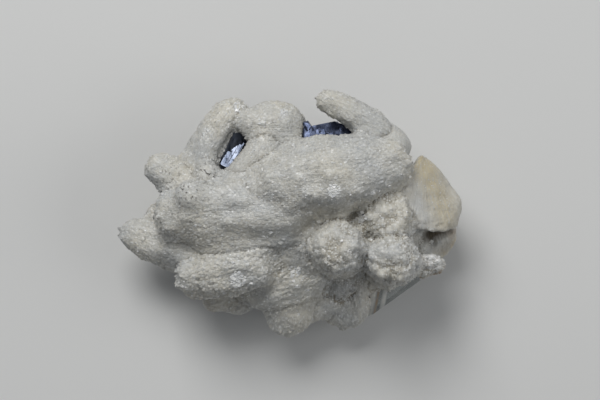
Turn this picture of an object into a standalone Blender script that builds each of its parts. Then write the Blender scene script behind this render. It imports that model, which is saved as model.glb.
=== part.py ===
"""A calcite cluster with galena, lying on its broken back. Metres, +Z up, X to the right, Y away.

The calcite is one solid. Its crystals grew through each other from the middle of the piece, and each is
an elongated six-sided form with smaller crystals lying along it. The two galena pieces and the clear
calcite crystal sit in pockets of that solid.
"""

import math
import random
from typing import NamedTuple

import bmesh
import bpy
from mathutils import Matrix, Vector, noise

MM = 0.001

# Sizes that drive the piece, in millimetres
POCKET_GAP = 0.4
BASE_DEPTH = 30.0
BASE_REACH = 140.0
SKIN_VOXEL = 0.7
TRIANGLE_SHARE = 0.070
CREVICE_FILL = 1.3

# Shape of the crystals' skin
AROUND = 36
ALONG = 26
BODY_LATITUDE = math.radians(52)
FACET_STRENGTH = 0.55
RIDGE_HEIGHT = 0.07
RIDGE_WIDTH = 2.6
RIDGE_LENGTH = 15.0
LUMP_HEIGHT = 0.06
LUMP_SIZE = 7.0
GOLDEN_ANGLE = math.pi * (3 - math.sqrt(5))
SPRIG_START, SPRIG_END = 0.12, 1.30
CAP_SHARE = 0.22
SPRIG_FOOT, SPRIG_POINT, SPRIG_SINK, CAP_SPRIG = 0.32, 0.12, 0.08, 0.75

# Radius from root to tip, as shares of the full radius
SPINDLE = (0.70, 0.92, 1.00, 0.86, 0.50)
BARREL = (0.84, 0.96, 1.00, 0.88, 0.54)
CLUB = (0.76, 0.88, 0.97, 1.00, 0.72)
HEAD = (0.80, 0.88, 0.96, 1.00, 0.86)
STUB = (0.95, 1.00, 1.00, 0.94, 0.74)
TAPER = (1.00, 0.99, 0.91, 0.79, 0.56)

CALCITE = ("drusy_calcite", (0.53, 0.50, 0.45), 0.62, 0.0)
GALENA = ("galena", (0.22, 0.23, 0.27), 0.30, 1.0)
CLEAR_CALCITE = ("clear_calcite", (0.60, 0.60, 0.58), 0.12, 0.0)


class Crystal(NamedTuple):
    """One calcite crystal, in millimetres. sprigs is how many smaller crystals lie on it, their length,
    and how far they lean out from its axis, in degrees."""

    name: str
    root: tuple
    tip: tuple
    width: float
    depth: float
    form: tuple
    sprigs: tuple = (0, 0, 0)


CRYSTALS = (
    # The two halves of the great crystal that lies across the top
    Crystal("great_right", (-5.5, 7.4, 34.5), (30.8, 13.8, 34), 23.0, 25.5, SPINDLE, (60, 6.5, 9)),
    Crystal("great_left", (0.0, 3.0, 30.6), (-35.5, -1.5, 29.2), 23.0, 23.0, TAPER, (50, 6.0, 9)),
    Crystal("great_left_knob", (-25.0, 2.5, 34), (-30.5, 6.3, 38), 10.0, 9.5, STUB, (14, 3.0, 25)),
    Crystal("web_left", (0.0, -6.0, 31.0), (-26.0, -6.8, 31.0), 11.0, 12.0, STUB, (18, 3.5, 12)),
    # Upper left
    Crystal("long_upper_left", (-28.5, 11.0, 22), (-18.0, 28.8, 26), 11.5, 12.0, STUB, (26, 4.5, 12)),
    Crystal("upper_left_wedge", (-21.0, 24.0, 24), (-15.3, 31.5, 27), 7.5, 8.0, STUB, (8, 3.0, 12)),
    Crystal("egg_top", (2.0, 25.6, 26), (-13.0, 25.3, 31), 13.8, 12.5, SPINDLE, (20, 3.5, 18)),
    Crystal("egg_top_behind", (0.5, 21.0, 17), (1.5, 28.3, 19), 8.5, 9.0, CLUB),
    Crystal("shield_small", (-13.0, 10.8, 30.5), (-6.8, 19.2, 34.2), 9.8, 8.6, TAPER, (10, 3.5, 12)),
    Crystal("stub_left", (-27.5, 6.0, 24), (-39.7, 14.0, 26), 11.0, 10.5, STUB, (14, 3.5, 18)),
    Crystal("button_left", (-22.5, 7.5, 29), (-24.5, 13.0, 32), 7.5, 7.0, STUB, (8, 2.8, 30)),
    # Upper right
    Crystal("finger_top_right", (26.0, 24.3, 27), (9.3, 32.6, 31), 8.6, 9.0, STUB, (18, 3.5, 14)),
    Crystal("smooth_behind", (22.0, 12.0, 24), (31.5, 22.0, 25), 15.0, 13.0, STUB),
    # Left
    Crystal("spur_left", (-26.0, -14.0, 18), (-48.0, -5.7, 18), 14.0, 12.0, BARREL, (20, 4.0, 12)),
    Crystal("neck_left", (-30.5, -4.0, 16), (-40.5, -0.5, 14), 9.5, 9.0, STUB, (4, 3.0, 20)),
    Crystal("cheek_left", (-24.0, -11.0, 24), (-36.0, -9.5, 22.5), 12.0, 10.0, CLUB, (6, 3.5, 15)),
    # Lower left
    Crystal("shingled_left", (-8.0, -14.5, 30), (-29.0, -19.6, 26), 14.0, 14.0, STUB, (46, 6.5, 5)),
    Crystal("low_left_tip", (-14.0, -22.0, 15), (-24.0, -27.0, 12), 9.0, 9.0, CLUB, (5, 3.0, 15)),
    Crystal("low_left_tip_2", (-8.5, -23.0, 15), (-17.5, -28.3, 12), 8.5, 9.0, CLUB),
    # Bottom
    Crystal("apron", (1.0, 0.0, 22), (-2.0, -19.0, 21), 27.0, 25.0, BARREL, (24, 5.0, 12)),
    Crystal("broad_bottom", (8.0, -12.5, 24), (-11.0, -23.5, 20), 21.0, 17.0, BARREL, (30, 5.0, 10)),
    Crystal("tip_bottom", (3.0, -20.0, 20), (-1.7, -34.3, 16), 13.5, 12.5, CLUB, (16, 4.0, 12)),
    Crystal("ridge_bottom", (20.0, -18.0, 18), (5.5, -30.5, 15), 10.0, 10.5, SPINDLE, (16, 3.5, 15)),
    Crystal("fan_bottom_right", (18.0, -19.0, 16), (15.7, -31.7, 12), 14.0, 11.0, STUB, (30, 5.0, 6)),
    # Right
    Crystal("lump_front", (14.0, -13.5, 20), (13.7, -9.6, 42.0), 16.5, 15.5, HEAD, (44, 3.6, 30)),
    Crystal("lump_front_skirt", (13.5, -10.0, 24), (14.5, -22.0, 18), 16.5, 14.0, STUB, (24, 3.6, 25)),
    Crystal("lump_right", (29.5, -15.5, 16), (29.8, -13.5, 39.0), 16.5, 14.5, HEAD, (40, 3.6, 30)),
    Crystal("lump_right_skirt", (28.0, -12.0, 18), (26.5, -21.0, 16), 15.0, 12.0, STUB, (20, 3.6, 25)),
    Crystal("lump_upper", (27.5, -5.5, 18), (28.6, -0.8, 36.0), 16.5, 12.5, HEAD, (36, 3.6, 30)),
    Crystal("lump_far_right", (34.5, -4.0, 16), (36.0, -2.0, 30.0), 9.0, 9.0, HEAD, (20, 3.2, 30)),
    Crystal("cleft_crystal", (25.0, 4.0, 22), (35.5, 7.0, 28.5), 12.0, 11.0, STUB, (10, 3.2, 20)),
    Crystal("lump_bed", (8.0, -3.0, 22), (33.5, -2.5, 22), 26.0, 21.0, STUB, (20, 3.6, 25)),
    # The mass that they all grow from, and the low crystals round its foot
    Crystal("heart", (-26.0, -3.0, 14), (32.0, 1.0, 14), 36.0, 36.0, BARREL),
    Crystal("foot_back_left", (-15.0, 2.0, 7), (-19.0, 23.0, 5), 13.0, 9.0, CLUB, (6, 3.5, 15)),
    Crystal("foot_back_right", (22.0, 12.0, 12), (25.0, 24.0, 9), 11.0, 11.0, CLUB, (4, 3.5, 15)),
    Crystal("foot_left", (-26.0, -8.0, 9), (-38.0, -10.0, 7), 10.0, 9.0, CLUB, (4, 3.5, 15)),
    Crystal("foot_front_left", (-10.0, -14.0, 9), (-14.0, -26.0, 7), 11.0, 9.0, CLUB, (4, 3.5, 15)),
    Crystal("foot_front", (4.0, -16.0, 9), (1.0, -30.0, 7), 11.0, 9.0, CLUB, (4, 3.5, 15)),
    Crystal("foot_right", (30.0, -4.0, 10), (43.0, 0.0, 9), 12.0, 11.0, CLUB, (4, 3.5, 15)),
    Crystal("foot_front_right", (28.0, -7.0, 14), (38.5, -10.5, 17), 9.0, 10.0, CLUB, (3, 3.2, 15)),
)

# Corners of the flat-faced crystals, in millimetres
FAN_PLATE = (
    (38.0, 17.0, 30), (43.8, 12.0, 28), (49.9, 3.6, 24), (50.2, 1.5, 22), (49.0, -4.5, 22),
    (45.0, -6.0, 27), (40.5, -6.0, 30), (36.0, -4.0, 31), (33.0, 3.5, 33), (34.5, 10.5, 32),
    (36.0, 13.0, 9), (46.0, 3.5, 8), (46.0, -3.5, 8), (37.0, -4.0, 8), (29.0, 3.5, 8),
)
FAN_FOOT = (
    (49.0, -4.0, 16), (49.0, -8.5, 14), (47.8, -11.0, 13), (45.0, -14.0, 12), (43.0, -14.5, 12),
    (40.0, -12.5, 16), (40.5, -7.5, 20), (45.0, -4.0, 21), (46.0, -5.0, 5), (44.0, -11.0, 4),
    (36.0, -10.0, 4), (34.0, -2.0, 4), (34.0, -2.0, 18),
)
CORNER_BLOCK = (
    (36.0, -18.6, 28), (37.0, -16.0, 29), (39.0, -12.5, 29), (42.3, -12.0, 28), (45.4, -15.0, 27),
    (45.5, -16.0, 26), (43.8, -17.6, 26), (39.0, -19.8, 26), (38.0, -15.0, 9), (43.0, -14.5, 10),
    (42.0, -17.0, 10), (37.5, -18.5, 10), (33.0, -14.0, 23), (32.0, -12.0, 10),
)
FLAT_CRYSTALS = (FAN_PLATE, FAN_FOOT, CORNER_BLOCK)

CLEAR_CORNERS = (
    (20.5, -21.0, 13), (22.9, -30.9, 10), (24.4, -30.3, 11), (31.9, -24.8, 13), (38.2, -20.3, 13),
    (37.0, -17.0, 14), (25.0, -17.0, 15), (22.0, -29.5, 2), (31.0, -23.5, 2), (36.0, -19.0, 3),
    (34.0, -15.0, 3), (22.0, -16.0, 2),
)


class Block(NamedTuple):
    """One cube-shaped galena crystal: its middle and edge lengths in millimetres, its spin about its own
    upright edge and then its tilts about X and Y, in degrees, and how far its corners are cut back."""

    middle: tuple
    edges: tuple
    spin: float
    tilts: tuple
    corner: float


# The narrow block's upper face leans back towards the light, the broad one's leans away from it
CLEAVED_BLOCKS = (
    Block((-16.8, 17.2, 20.5), (8.5, 13.0, 13.0), -25, (12, 16), 1.0),
    Block((-15.8, 14.6, 21.8), (3.4, 9.0, 13.0), -25, (-20, -8), 0.4),
)
ETCHED_BLOCKS = (
    Block((4.0, 18.5, 20.0), (10.0, 10.0, 15.0), 28, (-12, -10), 1.5),
    Block((10.0, 19.2, 20.5), (9.0, 9.0, 15.0), 12, (-16, 6), 1.2),
    Block((15.5, 20.0, 20.0), (9.0, 8.5, 13.0), -10, (-8, 12), 1.2),
)


def radius_share(form, along):
    """The crystal's radius at a place from 0 at its root to 1 at its tip."""
    place = min(max(along, 0.0), 1.0) * (len(form) - 1)
    station = min(int(place), len(form) - 2)
    return form[station] + (form[station + 1] - form[station]) * (place - station)


def section_share(angle):
    """Part hexagon, part circle: the six worn edges of a calcite crystal."""
    sixth = math.pi / 3
    hexagon = math.cos(sixth / 2) / math.cos(angle % sixth - sixth / 2)
    return 1 - FACET_STRENGTH + FACET_STRENGTH * hexagon / 0.95


def crystal_frame(crystal):
    """Axis, sideways and upward directions, and length, with the width lying as level as it can."""
    axis = Vector(crystal.tip) - Vector(crystal.root)
    length = axis.length
    axis.normalize()
    side = axis.cross(Vector((0, 0, 1)))
    if side.length < 0.5:
        side = axis.cross(Vector((0, 1, 0)))
    side.normalize()
    return axis, side, side.cross(axis), length


def surface_point(crystal, along, angle, close=1.0, cap=0.0):
    """A point on the crystal's skin: along it, round it, closed in towards its axis, and out on its cap."""
    axis, side, up, length = crystal_frame(crystal)
    share = radius_share(crystal.form, along)
    across = side * math.cos(angle) * crystal.width / 2 + up * math.sin(angle) * crystal.depth / 2
    reach = cap * share * CAP_SHARE * min(crystal.width, crystal.depth)
    middle = Vector(crystal.root) + axis * (length * along + reach)
    return middle, middle + across * share * section_share(angle) * close


def add_crystal(bm, crystal, seed):
    """A sphere's rings drawn out along the crystal's axis: the middle ones follow its form, the polar ones
    close it with a blunt cap."""
    axis, side, up, length = crystal_frame(crystal)
    made = bmesh.ops.create_uvsphere(bm, u_segments=AROUND, v_segments=ALONG, radius=1.0)
    shift = Vector((31.7, 17.3, 23.9)) * seed
    for vert in made["verts"]:
        latitude = math.asin(max(-1.0, min(1.0, vert.co.z)))
        angle = math.atan2(vert.co.y, vert.co.x)
        beyond = abs(latitude) - BODY_LATITUDE
        along = 0.5 + 0.5 * max(-1.0, min(1.0, latitude / BODY_LATITUDE))
        turn = max(0.0, beyond) / (math.pi / 2 - BODY_LATITUDE) * math.pi / 2
        cap = math.copysign(math.sin(turn), latitude)
        middle, point = surface_point(crystal, along, angle, math.cos(turn), cap)
        outward = point - middle
        ridge = noise.noise(
            Vector((outward.dot(side), outward.dot(up), 0)) / RIDGE_WIDTH
            + Vector((0, 0, length * along / RIDGE_LENGTH))
            + shift
        )
        lump = noise.noise(point / LUMP_SIZE + shift)
        vert.co = point + outward * (RIDGE_HEIGHT * ridge + LUMP_HEIGHT * lump) * 2


def add_sprigs(bm, crystal, rng):
    """Smaller crystals laid along the skin, their tips towards the crystal's own tip."""
    count, sprig_length, lean = crystal.sprigs
    axis = crystal_frame(crystal)[0]
    for number in range(count):
        along = SPRIG_START + (SPRIG_END - SPRIG_START) * (number + 0.5) / count
        angle = number * GOLDEN_ANGLE + rng.uniform(-0.3, 0.3)
        size = sprig_length * rng.uniform(0.7, 1.25)
        turn_in = max(0.0, along - 1) / (SPRIG_END - 1) * math.pi / 2
        middle, skin = surface_point(crystal, min(along, 1.0), angle, math.cos(turn_in), math.sin(turn_in))
        if turn_in:
            size *= CAP_SPRIG
        outward = (skin - middle).normalized()
        tilt = math.radians(lean + rng.uniform(-5, 9))
        direction = axis * math.cos(tilt) + outward * math.sin(tilt)
        turn = direction.to_track_quat("Z", "Y").to_matrix().to_4x4()
        spin = Matrix.Rotation(rng.uniform(0, math.tau), 4, "Z")
        bmesh.ops.create_cone(
            bm,
            cap_ends=True,
            segments=6,
            radius1=size * SPRIG_FOOT,
            radius2=size * SPRIG_POINT,
            depth=size,
            matrix=Matrix.Translation(skin - outward * size * SPRIG_SINK * math.cos(turn_in)) @ turn @ spin,
        )


def add_flat_crystal(bm, corners):
    """A flat-faced crystal from its corners."""
    verts = [bm.verts.new(corner) for corner in corners]
    made = bmesh.ops.convex_hull(bm, input=verts)
    inside = [g for g in made["geom_interior"] + made["geom_unused"] if isinstance(g, bmesh.types.BMVert)]
    bmesh.ops.delete(bm, geom=list(set(inside)), context="VERTS")


def add_block(bm, block):
    """A cube-shaped crystal with its corners cut back."""
    turn = Matrix.Rotation(math.radians(block.tilts[1]), 4, "Y")
    turn @= Matrix.Rotation(math.radians(block.tilts[0]), 4, "X")
    turn @= Matrix.Rotation(math.radians(block.spin), 4, "Z")
    place = Matrix.Translation(block.middle) @ turn @ Matrix.Diagonal((*block.edges, 1))
    made = bmesh.ops.create_cube(bm, size=1.0, matrix=place)
    bmesh.ops.bevel(bm, geom=made["verts"], offset=block.corner, affect="VERTICES", segments=1)


def new_object(name, bm, collection, material=None):
    """Turns millimetres into metres and links the mesh under its name."""
    bmesh.ops.scale(bm, vec=(MM, MM, MM), verts=bm.verts)
    bmesh.ops.recalc_face_normals(bm, faces=bm.faces)
    mesh = bpy.data.meshes.new(name)
    bm.to_mesh(mesh)
    bm.free()
    obj = bpy.data.objects.new(name, mesh)
    collection.objects.link(obj)
    if material:
        mesh.materials.append(material)
    return obj


def new_material(name, colour, roughness, metallic):
    material = bpy.data.materials.new(name)
    material.use_nodes = True
    shader = material.node_tree.nodes["Principled BSDF"]
    shader.inputs["Base Color"].default_value = (*colour, 1)
    shader.inputs["Roughness"].default_value = roughness
    shader.inputs["Metallic"].default_value = metallic
    return material


def as_cutter(obj):
    obj.hide_render = True
    obj.display_type = "WIRE"
    return obj


def cut(obj, cutter, operation="DIFFERENCE"):
    modifier = obj.modifiers.new(f"{operation.lower()}_{cutter.name}", "BOOLEAN")
    modifier.operation = operation
    modifier.object = cutter


def pocket_for(obj, cutters):
    """The same shape, grown on all sides by the gap that keeps two minerals apart."""
    pocket = bpy.data.objects.new(f"{obj.name}_pocket", obj.data)
    cutters.objects.link(pocket)
    grow = pocket.modifiers.new("gap", "DISPLACE")
    grow.strength = POCKET_GAP * MM * 1.5
    grow.mid_level = 0
    return as_cutter(pocket)


def add_skin(obj, name):
    """One closed skin round everything that overlaps."""
    skin = obj.modifiers.new(name, "REMESH")
    skin.mode = "VOXEL"
    skin.voxel_size = SKIN_VOXEL * MM


def settled(obj):
    """The mesh that the object's modifiers make, in place of the object."""
    mesh = bpy.data.meshes.new_from_object(obj.evaluated_get(bpy.context.evaluated_depsgraph_get()))
    bpy.data.objects.remove(obj, do_unlink=True)
    bm = bmesh.new()
    bm.from_mesh(mesh)
    bmesh.ops.scale(bm, vec=(1 / MM, 1 / MM, 1 / MM), verts=bm.verts)
    return bm


def grown_mass(parts):
    """The large crystals joined into one skin, with the sharp crevices between them healed."""
    bm = bmesh.new()
    for seed, crystal in enumerate(CRYSTALS, start=1):
        add_crystal(bm, crystal, seed)
    mass = new_object("grown_mass", bm, parts)
    add_skin(mass, "grown_together")
    for name, distance in (("fill_crevices", CREVICE_FILL), ("back_to_size", -CREVICE_FILL)):
        move = mass.modifiers.new(name, "DISPLACE")
        move.strength = distance * MM
        move.mid_level = 0
        add_skin(mass, f"{name}_skin")
    return settled(mass)


def keep_largest_body(bm):
    """Drops the crumbs that thinning leaves beside the piece."""
    unseen = set(bm.verts)
    bodies = []
    while unseen:
        edge_of_body = [unseen.pop()]
        body = set(edge_of_body)
        while edge_of_body:
            for edge in edge_of_body.pop().link_edges:
                for vert in edge.verts:
                    if vert in unseen:
                        unseen.remove(vert)
                        body.add(vert)
                        edge_of_body.append(vert)
        bodies.append(body)
    crumbs = sorted(bodies, key=len)[:-1]
    bmesh.ops.delete(bm, geom=[vert for body in crumbs for vert in body], context="VERTS")


def build_cluster(parts, cutters):
    """All the white calcite, thinned to its main facets and cut flat where it broke from the rock."""
    bm = grown_mass(parts)
    rng = random.Random(7)
    for crystal in CRYSTALS:
        add_sprigs(bm, crystal, rng)
    for corners in FLAT_CRYSTALS:
        add_flat_crystal(bm, corners)
    rough = new_object("rough_cluster", bm, parts)
    add_skin(rough, "skin")
    rough.modifiers.new("main_facets", "DECIMATE").ratio = TRIANGLE_SHARE
    bm = settled(rough)
    keep_largest_body(bm)
    cluster = new_object("calcite_cluster", bm, parts, new_material(*CALCITE))
    bm = bmesh.new()
    rock = Matrix.Diagonal((BASE_REACH, BASE_REACH, BASE_DEPTH, 1))
    bmesh.ops.create_cube(bm, size=1.0, matrix=Matrix.Translation((0, 0, -BASE_DEPTH / 2)) @ rock)
    cut(cluster, as_cutter(new_object("broken_back_cutter", bm, cutters)))
    return cluster


def build_galena(name, blocks, cluster, parts, cutters, material):
    """Cube-shaped crystals grown into each other, each in a pocket of the calcite."""
    bm = bmesh.new()
    add_block(bm, blocks[0])
    galena = new_object(name, bm, parts, material)
    for number, block in enumerate(blocks[1:], start=2):
        bm = bmesh.new()
        add_block(bm, block)
        cut(galena, as_cutter(new_object(f"{name}_{number}", bm, cutters)), "UNION")
    for number, block in enumerate(blocks, start=1):
        bm = bmesh.new()
        add_block(bm, block._replace(edges=tuple(edge + 2 * POCKET_GAP for edge in block.edges)))
        cut(cluster, as_cutter(new_object(f"{name}_pocket_{number}", bm, cutters)))


def build_clear_crystal(parts):
    bm = bmesh.new()
    add_flat_crystal(bm, CLEAR_CORNERS)
    return new_object("clear_calcite_crystal", bm, parts, new_material(*CLEAR_CALCITE))


def main():
    for obj in list(bpy.data.objects):
        bpy.data.objects.remove(obj, do_unlink=True)
    parts = bpy.data.collections.new("calcite_with_galena")
    cutters = bpy.data.collections.new("cutters")
    bpy.context.scene.collection.children.link(parts)
    bpy.context.scene.collection.children.link(cutters)
    galena = new_material(*GALENA)
    cluster = build_cluster(parts, cutters)
    build_galena("galena_cleaved_crystal", CLEAVED_BLOCKS, cluster, parts, cutters, galena)
    build_galena("galena_etched_crystals", ETCHED_BLOCKS, cluster, parts, cutters, galena)
    cut(cluster, pocket_for(build_clear_crystal(parts), cutters))


main()
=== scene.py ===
import math

import bmesh
import bpy
import numpy as np
from mathutils import Matrix, Vector, noise


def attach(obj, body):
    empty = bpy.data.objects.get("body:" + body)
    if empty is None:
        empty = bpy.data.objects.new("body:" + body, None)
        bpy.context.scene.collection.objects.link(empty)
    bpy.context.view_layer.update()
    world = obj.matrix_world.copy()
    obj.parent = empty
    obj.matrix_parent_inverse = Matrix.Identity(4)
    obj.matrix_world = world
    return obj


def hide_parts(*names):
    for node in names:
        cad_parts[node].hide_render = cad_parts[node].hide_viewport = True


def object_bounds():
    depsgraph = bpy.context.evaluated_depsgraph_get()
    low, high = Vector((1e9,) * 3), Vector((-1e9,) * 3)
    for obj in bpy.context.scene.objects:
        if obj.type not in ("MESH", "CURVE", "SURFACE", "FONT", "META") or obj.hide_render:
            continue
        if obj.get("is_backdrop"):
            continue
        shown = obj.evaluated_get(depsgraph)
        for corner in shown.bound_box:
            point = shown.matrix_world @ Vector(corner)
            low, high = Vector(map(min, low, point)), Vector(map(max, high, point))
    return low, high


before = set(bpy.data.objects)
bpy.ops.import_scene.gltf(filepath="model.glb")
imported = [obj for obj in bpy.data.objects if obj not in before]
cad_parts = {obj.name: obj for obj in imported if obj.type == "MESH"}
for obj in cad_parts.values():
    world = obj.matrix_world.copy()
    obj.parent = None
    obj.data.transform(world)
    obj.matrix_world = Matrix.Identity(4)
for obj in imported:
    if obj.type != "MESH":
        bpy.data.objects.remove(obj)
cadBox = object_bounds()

mm = 0.001
turn = math.tau
bpy.context.scene.view_settings.view_transform = "Standard"


# sRGB hex to the linear colour that shaders take
def linearColour(code):
    channels = [int(code[i:i + 2], 16) / 255 for i in (1, 3, 5)]
    return (*[c / 12.92 if c <= 0.04045 else ((c + 0.055) / 1.055) ** 2.4 for c in channels], 1.0)


# a pattern's scale, from how far apart its spots are in mm
def patternScale(size):
    return 1 / (size * mm)


# one node: the output that is wanted of it, its sockets as values or links, and its settings
def addNode(tree, kind, output, sockets=None, **settings):
    node = tree.nodes.new("ShaderNode" + kind)
    for name, value in settings.items():
        setattr(node, name, value)
    for name, value in (sockets or {}).items():
        if isinstance(value, bpy.types.NodeSocket):
            tree.links.new(value, node.inputs[name])
        else:
            node.inputs[name].default_value = value
    return node.outputs[output]


def newMaterial(name, finish):
    material = bpy.data.materials.new(name)
    material.use_nodes = True
    shader = material.node_tree.nodes["Principled BSDF"]
    for socket, value in finish.items():
        shader.inputs[socket].default_value = value
    return material, material.node_tree, shader


def deselectAll():
    bpy.ops.object.select_all(action="DESELECT")


# how wide a crystal is from its root to its tip
profiles = {
    "spindle": (0.70, 0.92, 1.00, 0.86, 0.50),
    "barrel": (0.84, 0.96, 1.00, 0.88, 0.54),
    "club": (0.76, 0.88, 0.97, 1.00, 0.72),
    "head": (0.80, 0.88, 0.96, 1.00, 0.86),
    "stub": (0.95, 1.00, 1.00, 0.94, 0.74),
    "taper": (1.00, 0.99, 0.91, 0.79, 0.56),
}
# every crystal of the cluster, as it stands in the solid: root and tip, width and depth in mm, profile,
# lean of its skin crystals in degrees, their size, and the piece that its skin belongs to
hostCrystals = {
    "greatRight": ((-5.5, 7.4, 34.5), (30.8, 13.8, 34), 23.0, 25.5, "spindle", 14, 1.00, "greatRight"),
    "greatLeft": ((0.0, 3.0, 30.6), (-35.5, -1.5, 29.2), 23.0, 23.0, "taper", 14, 1.00, "greatLeft"),
    "greatLeftKnob": ((-25.0, 2.5, 34), (-30.5, 6.3, 38), 10.0, 9.5, "stub", 35, 0.85, "greatLeft"),
    "webLeft": ((0.0, -6.0, 31.0), (-26.0, -6.8, 31.0), 11.0, 12.0, "stub", 14, 1.00, "greatLeft"),
    "longUpperLeft": ((-28.5, 11.0, 22), (-18.0, 28.8, 26), 11.5, 12.0, "stub", 20, 0.90, "upper"),
    "upperLeftWedge": ((-21.0, 24.0, 24), (-15.3, 31.5, 27), 7.5, 8.0, "stub", 20, 0.90, "upper"),
    "eggTop": ((2.0, 25.6, 26), (-13.0, 25.3, 31), 13.8, 12.5, "spindle", 28, 0.90, "upper"),
    "eggTopBehind": ((0.5, 21.0, 17), (1.5, 28.3, 19), 8.5, 9.0, "club", 25, 0.90, "upper"),
    "shieldSmall": ((-13.0, 10.8, 30.5), (-6.8, 19.2, 34.2), 9.8, 8.6, "taper", 16, 0.85, "greatLeft"),
    "stubLeft": ((-27.5, 6.0, 24), (-39.7, 14.0, 26), 11.0, 10.5, "stub", 28, 0.90, "upper"),
    "buttonLeft": ((-22.5, 7.5, 29), (-24.5, 13.0, 32), 7.5, 7.0, "stub", 35, 0.80, "upper"),
    "fingerTopRight": ((26.0, 24.3, 27), (9.3, 32.6, 31), 8.6, 9.0, "stub", 20, 0.90, "upper"),
    "smoothBehind": ((22.0, 12.0, 24), (31.5, 22.0, 25), 15.0, 13.0, "stub", 10, 0.70, "bare"),
    "spurLeft": ((-26.0, -14.0, 18), (-48.0, -5.7, 18), 14.0, 12.0, "barrel", 18, 0.90, "lowerLeft"),
    "neckLeft": ((-30.5, -4.0, 16), (-40.5, -0.5, 14), 9.5, 9.0, "stub", 25, 0.90, "lowerLeft"),
    "cheekLeft": ((-24.0, -11.0, 24), (-36.0, -9.5, 22.5), 12.0, 10.0, "club", 20, 0.80, "lowerLeft"),
    "shingledLeft": ((-8.0, -14.5, 30), (-29.0, -19.6, 26), 14.0, 14.0, "stub", 10, 1.15, "shingled"),
    "lowLeftTip": ((-14.0, -22.0, 15), (-24.0, -27.0, 12), 9.0, 9.0, "club", 20, 0.90, "lowerLeft"),
    "lowLeftTip2": ((-8.5, -23.0, 15), (-17.5, -28.3, 12), 8.5, 9.0, "club", 20, 0.90, "lowerLeft"),
    "apron": ((1.0, 0.0, 22), (-2.0, -19.0, 21), 27.0, 25.0, "barrel", 22, 0.90, "bottom"),
    "broadBottom": ((8.0, -12.5, 24), (-11.0, -23.5, 20), 21.0, 17.0, "barrel", 20, 0.95, "bottom"),
    "tipBottom": ((3.0, -20.0, 20), (-1.7, -34.3, 16), 13.5, 12.5, "club", 22, 0.95, "bottom"),
    "ridgeBottom": ((20.0, -18.0, 18), (5.5, -30.5, 15), 10.0, 10.5, "spindle", 25, 0.90, "bottom"),
    "fanBottomRight": ((18.0, -19.0, 16), (15.7, -31.7, 12), 14.0, 11.0, "stub", 12, 1.10, "shingled"),
    "lumpFront": ((14.0, -13.5, 20), (13.7, -9.6, 42.0), 16.5, 15.5, "head", 55, 1.00, "lumps"),
    "lumpFrontSkirt": ((13.5, -10.0, 24), (14.5, -22.0, 18), 16.5, 14.0, "stub", 40, 0.95, "lumps"),
    "lumpRight": ((29.5, -15.5, 16), (29.8, -13.5, 39.0), 16.5, 14.5, "head", 55, 1.00, "lumps"),
    "lumpRightSkirt": ((28.0, -12.0, 18), (26.5, -21.0, 16), 15.0, 12.0, "stub", 40, 0.95, "lumps"),
    "lumpUpper": ((27.5, -5.5, 18), (28.6, -0.8, 36.0), 16.5, 12.5, "head", 55, 1.00, "lumps"),
    "lumpFarRight": ((34.5, -4.0, 16), (36.0, -2.0, 30.0), 9.0, 9.0, "head", 50, 0.90, "lumps"),
    "cleftCrystal": ((25.0, 4.0, 22), (35.5, 7.0, 28.5), 12.0, 11.0, "stub", 25, 0.90, "lumps"),
    "lumpBed": ((8.0, -3.0, 22), (33.5, -2.5, 22), 26.0, 21.0, "stub", 35, 0.90, "lumps"),
    "heart": ((-26.0, -3.0, 14), (32.0, 1.0, 14), 36.0, 36.0, "barrel", 30, 0.95, "foot"),
    "footBackLeft": ((-15.0, 2.0, 7), (-19.0, 23.0, 5), 13.0, 9.0, "club", 25, 1.00, "foot"),
    "footBackRight": ((22.0, 12.0, 12), (25.0, 24.0, 9), 11.0, 11.0, "club", 25, 1.00, "foot"),
    "footLeft": ((-26.0, -8.0, 9), (-38.0, -10.0, 7), 10.0, 9.0, "club", 25, 1.00, "foot"),
    "footFrontLeft": ((-10.0, -14.0, 9), (-14.0, -26.0, 7), 11.0, 9.0, "club", 25, 1.00, "foot"),
    "footFront": ((4.0, -16.0, 9), (1.0, -30.0, 7), 11.0, 9.0, "club", 25, 1.00, "foot"),
    "footRight": ((30.0, -4.0, 10), (43.0, 0.0, 9), 12.0, 11.0, "club", 25, 1.00, "foot"),
    "footFrontRight": ((28.0, -7.0, 14), (38.5, -10.5, 17), 9.0, 10.0, "club", 25, 1.00, "foot"),
}
hostRows = list(hostCrystals.values())
hostLeans = np.array([row[5] for row in hostRows], float)
hostSizes = np.array([row[6] for row in hostRows])
hostRegions = np.array([row[7] for row in hostRows])
# crystals that run into each other without a crease between them
blended = (
    ("greatLeft", "greatLeftKnob", "webLeft"), ("spurLeft", "neckLeft", "cheekLeft"),
    ("longUpperLeft", "upperLeftWedge"), ("eggTop", "eggTopBehind"),
    ("lumpFront", "lumpFrontSkirt"), ("lumpRight", "lumpRightSkirt"),
    ("lumpUpper", "lumpFarRight", "lumpBed", "cleftCrystal"), ("apron", "broadBottom", "heart"),
    ("lowLeftTip", "lowLeftTip2", "footFrontLeft"), ("tipBottom", "footFront"),
)
family = {name: number for number, names in enumerate(blended) for name in names}
hostFamily = np.array([family.get(name, len(blended) + number) for number, name in enumerate(hostCrystals)])


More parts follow.
